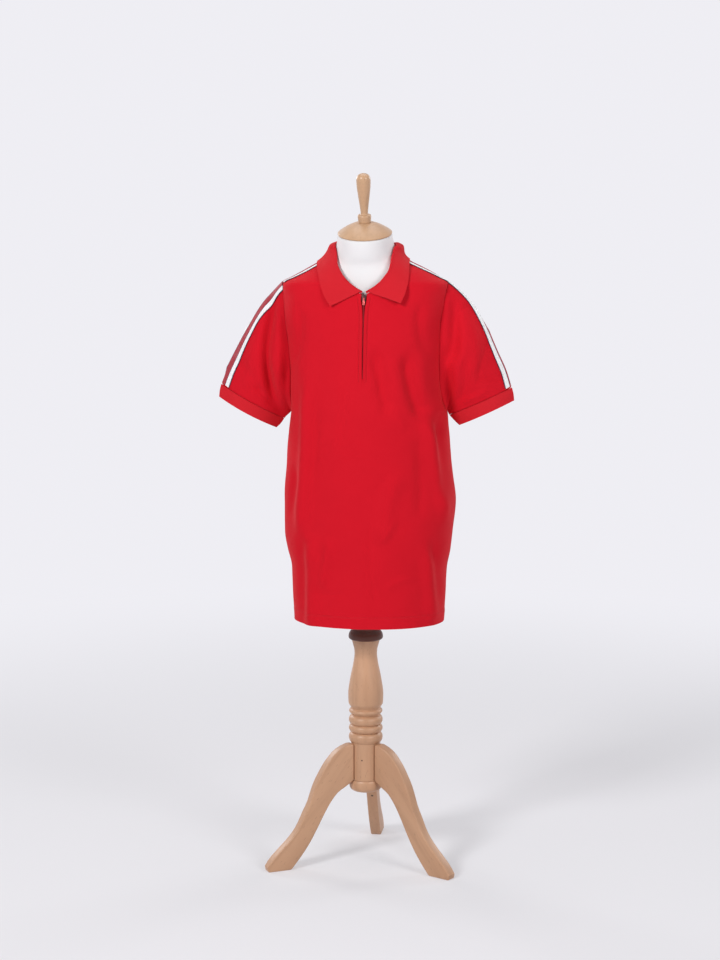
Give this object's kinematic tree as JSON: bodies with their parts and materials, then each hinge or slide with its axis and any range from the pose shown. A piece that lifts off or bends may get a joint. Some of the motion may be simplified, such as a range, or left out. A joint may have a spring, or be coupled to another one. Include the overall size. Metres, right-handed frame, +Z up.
{
  "type": "zip-neck polo shirt on limbless dress form with tripod stand",
  "caption": "Short-sleeved zip-neck polo shirt with ribbed collar, cuffs and shoulder tapes, worn on a limbless dress form on a turned wooden tripod stand.",
  "frame": {"origin": "on the floor, in the middle of the footprint", "axes": "+Z up along the column; -Y is the way the shirt faces; +X is the wearer's left"},
  "size_m": [0.5652, 0.3306, 1.3313],
  "materials": {
    "pique": "red pique knit",
    "rib": "red ribbed knit",
    "tape": "woven tape, white and dull red stripes",
    "zip_tape": "dark woven tape",
    "zip_metal": "dark plated metal",
    "jersey": "white jersey over a firm body",
    "beech": "satin beech",
    "cap_wood": "satin lacquered wood"
  },
  "bodies": {
    "shirt_on_stand": {"shirt_front": "pique", "shirt_back": "pique", "sleeve_right": "pique", "sleeve_left": "pique", "cuff_right": "rib", "cuff_left": "rib", "collar": "rib", "shoulder_tape_right": "tape", "shoulder_tape_left": "tape", "sleeve_tape_right": "tape", "sleeve_tape_left": "tape", "zip_tape": "zip_tape", "zip_slider": "zip_metal", "form_torso": "jersey", "neck_cap": "cap_wood", "finial": "cap_wood", "column": "beech", "foot_collar": "beech", "leg_right": "beech", "leg_left": "beech", "leg_rear": "beech"},
    "pull_tab": {"zip_pull": "zip_metal"}
  },
  "joints": [
    {"name": "pull_tab_hinge", "type": "hinge", "parent": "shirt_on_stand", "child": "pull_tab", "pos_m": [0.00607, -0.13803, 1.102], "axis": [-1, 0, 0], "range_deg": [0, 150]}
  ]
}
